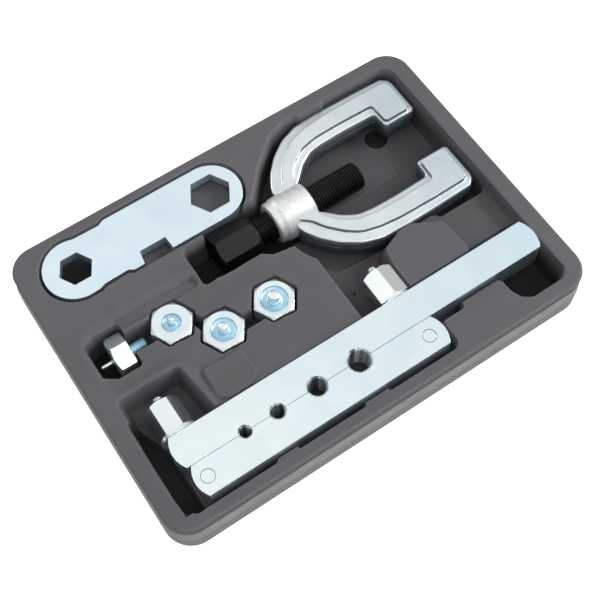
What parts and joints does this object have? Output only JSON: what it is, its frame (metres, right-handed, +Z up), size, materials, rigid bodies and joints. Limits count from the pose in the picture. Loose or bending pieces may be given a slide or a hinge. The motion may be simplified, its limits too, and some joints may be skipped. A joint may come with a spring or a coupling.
{
  "type": "flaring tool kit",
  "caption": "Double-flaring tool kit in a moulded case tray: split die bars, hooked yoke with forcing screw, flaring adapters and a ring wrench.",
  "frame": {"origin": "middle of the case tray's underside", "axes": "+X along the long side from the wrench's small end towards the yoke's hooks, +Y from the die bars towards the wrench, +Z up out of the tray"},
  "size_m": [0.217, 0.1542, 0.0304],
  "materials": {
    "case_plastic": "satin, fine moulded grain",
    "zinc_plate": "bright blue-white zinc plate",
    "forged_zinc": "zinc plate over a forged surface",
    "black_oxide": "oiled black oxide",
    "spring_steel": "phosphated"
  },
  "bodies": {
    "tray": {"case_tray": "case_plastic"},
    "ring_wrench": {"wrench": "zinc_plate"},
    "yoke_frame": {"yoke": "forged_zinc"},
    "screw_nose": {"nose_swivel": "zinc_plate", "snap_ring": "spring_steel"},
    "screw": {"forcing_screw": "black_oxide"},
    "die_base": {"die_bar_short": "zinc_plate", "stud_left": "zinc_plate", "stud_right": "zinc_plate", "stud_pin_left": "zinc_plate", "stud_pin_right": "zinc_plate"},
    "die_front": {"die_bar_long": "zinc_plate", "washer_left": "zinc_plate", "washer_right": "zinc_plate"},
    "nut_left": {"clamp_nut_left": "zinc_plate"},
    "nut_right": {"clamp_nut_right": "zinc_plate"},
    "cone_4_75": {"adapter_4_75": "zinc_plate"},
    "cone_6": {"adapter_6": "zinc_plate"},
    "cone_8": {"adapter_8": "zinc_plate"},
    "cone_10": {"adapter_10": "zinc_plate"}
  },
  "joints": [
    {"name": "wrench_lift", "type": "slide", "parent": "tray", "child": "ring_wrench", "axis": [0, 0, 1], "range_m": [0, 0.05]},
    {"name": "yoke_lift", "type": "slide", "parent": "tray", "child": "yoke_frame", "axis": [0, 0, 1], "range_m": [0, 0.06]},
    {"name": "screw_feed", "type": "slide", "parent": "yoke_frame", "child": "screw_nose", "axis": [1, 0, 0], "range_m": [0, 0.009]},
    {"name": "screw_turn", "type": "hinge", "parent": "screw_nose", "child": "screw", "pos_m": [0.04, 0.0299, 0.0145], "axis": [1, 0, 0], "range_deg": [0, 2160.01]},
    {"name": "die_lift", "type": "slide", "parent": "tray", "child": "die_base", "axis": [0, 0, 1], "range_m": [0, 0.06]},
    {"name": "clamp_open", "type": "slide", "parent": "die_base", "child": "die_front", "axis": [0, 1, 0], "range_m": [0, 0.002]},
    {"name": "nut_left_turn", "type": "hinge", "parent": "die_front", "child": "nut_left", "pos_m": [-0.0834, -0.028, 0.02175], "axis": [0, 1, 0], "range_deg": [0, 576.01]},
    {"name": "nut_right_turn", "type": "hinge", "parent": "die_front", "child": "nut_right", "pos_m": [0.0278, -0.028, 0.02175], "axis": [0, 1, 0], "range_deg": [0, 576.01]},
    {"name": "cone_4_75_lift", "type": "slide", "parent": "tray", "child": "cone_4_75", "axis": [0, 0, 1], "range_m": [0, 0.05]},
    {"name": "cone_6_lift", "type": "slide", "parent": "tray", "child": "cone_6", "axis": [0, 0, 1], "range_m": [0, 0.05]},
    {"name": "cone_8_lift", "type": "slide", "parent": "tray", "child": "cone_8", "axis": [0, 0, 1], "range_m": [0, 0.05]},
    {"name": "cone_10_lift", "type": "slide", "parent": "tray", "child": "cone_10", "axis": [0, 0, 1], "range_m": [0, 0.05]}
  ],
  "couplings": [
    {"joint": "screw_turn", "follows": "screw_feed", "rad_per_m": 4188.8},
    {"joint": "nut_left_turn", "follows": "clamp_open", "rad_per_m": 5026.5},
    {"joint": "nut_right_turn", "follows": "clamp_open", "rad_per_m": 5026.5}
  ]
}
